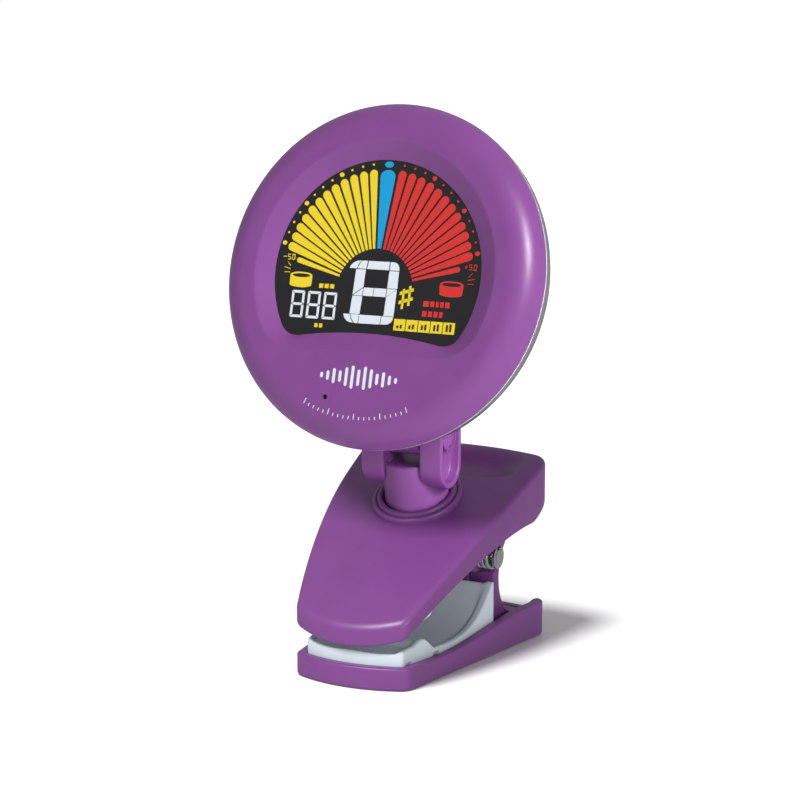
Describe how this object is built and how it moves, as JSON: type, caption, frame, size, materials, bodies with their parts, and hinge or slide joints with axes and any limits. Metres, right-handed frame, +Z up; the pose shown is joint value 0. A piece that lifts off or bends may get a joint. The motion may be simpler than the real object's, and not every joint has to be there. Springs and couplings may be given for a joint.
{
  "type": "clip on tuner",
  "caption": "Clip-on instrument tuner: round display head on a tilting, swivelling post above a sprung two-jaw clip with a pale grip insert.",
  "frame": {"origin": "centre of the flat underside of the clip's lower jaw", "axes": "+Z up, the mouth of the clip and the display towards -Y, the clip's hinge pin along X"},
  "size_m": [0.056, 0.045, 0.0916],
  "materials": {
    "case_purple": "satin moulded ABS",
    "insert_pale": "satin moulded plastic",
    "trim_silver": "plated ring",
    "steel": "plain steel",
    "spring_steel": "bright drawn wire",
    "lens_black": "clear hard-coated window with a dark print",
    "lcd_glass": "display glass",
    "diffuser_white": "milky acrylic",
    "led_white": "clear epoxy",
    "zebra_rubber": "striped silicone",
    "board_green": "solder mask",
    "chip_black": "moulded package",
    "parts_tan": "ceramic chips",
    "mic_can": "drawn can",
    "brass_gold": "plated brass",
    "cell_steel": "plated cell can",
    "seal_rubber": "soft ring",
    "button_grey": "silicone key"
  },
  "bodies": {
    "clip_base": {"lower_jaw": "case_purple", "jaw_insert": "insert_pale", "pivot_pin": "steel", "pin_clip": "steel", "spring_left": "spring_steel", "spring_right": "spring_steel"},
    "clip_lever": {"upper_jaw": "case_purple", "upper_pad": "insert_pale"},
    "yoke": {"swivel_yoke": "case_purple", "swivel_screw": "steel", "swivel_washer": "steel", "wave_washer": "steel", "tilt_screw": "steel", "tilt_nut": "steel", "tilt_washers": "steel"},
    "door": {"battery_door": "case_purple", "door_seal": "seal_rubber"},
    "power_key": {"power_button": "button_grey"},
    "mode_key": {"mode_button": "button_grey"},
    "up_key": {"up_button": "button_grey"},
    "down_key": {"down_button": "button_grey"},
    "head": {"front_bezel": "case_purple", "trim_ring": "trim_silver", "back_cover": "case_purple", "display_lens": "lens_black", "lcd_panel": "lcd_glass", "light_diffuser": "diffuser_white", "backlight_leds": "led_white", "zebra_strips": "zebra_rubber", "circuit_board": "board_green", "controller_chip": "chip_black", "small_parts": "parts_tan", "microphone": "mic_can", "buzzer": "chip_black", "piezo_pickup": "brass_gold", "tact_switches": "chip_black", "coin_cell": "cell_steel", "cell_spring": "brass_gold", "cell_rim_contact": "brass_gold", "case_screws": "steel"}
  },
  "joints": [
    {"name": "clip_open", "type": "hinge", "parent": "clip_base", "child": "clip_lever", "pos_m": [0, 0.007, 0.0162], "axis": [-1, 0, 0], "range_deg": [0, 32], "stiffness_Nm_per_rad": 0.12, "springref_deg": -28.65, "deforming": ["spring_left", "spring_right"]},
    {"name": "head_swivel", "type": "hinge", "parent": "clip_lever", "child": "yoke", "pos_m": [0, 0.0038, 0.0262], "axis": [0, -0.2079, 0.9781], "continuous": true},
    {"name": "head_tilt", "type": "hinge", "parent": "yoke", "child": "head", "pos_m": [0, 0.00145, 0.03725], "axis": [-1, 0, 0], "range_deg": [-20, 60]},
    {"name": "door_turn", "type": "hinge", "parent": "head", "child": "door", "pos_m": [0, 0.00183, 0.06783], "axis": [0, -0.9632, 0.2689], "range_deg": [0, 40]},
    {"name": "power_press", "type": "slide", "parent": "head", "child": "power_key", "axis": [0, -0.9632, 0.2689], "range_m": [0, 0.0005], "stiffness_N_per_m": 1200, "springref_m": -0.0004},
    {"name": "mode_press", "type": "slide", "parent": "head", "child": "mode_key", "axis": [0, -0.9632, 0.2689], "range_m": [0, 0.0005], "stiffness_N_per_m": 1200, "springref_m": -0.0004},
    {"name": "up_press", "type": "slide", "parent": "head", "child": "up_key", "axis": [0, -0.9632, 0.2689], "range_m": [0, 0.0005], "stiffness_N_per_m": 1200, "springref_m": -0.0004},
    {"name": "down_press", "type": "slide", "parent": "head", "child": "down_key", "axis": [0, -0.9632, 0.2689], "range_m": [0, 0.0005], "stiffness_N_per_m": 1200, "springref_m": -0.0004}
  ]
}
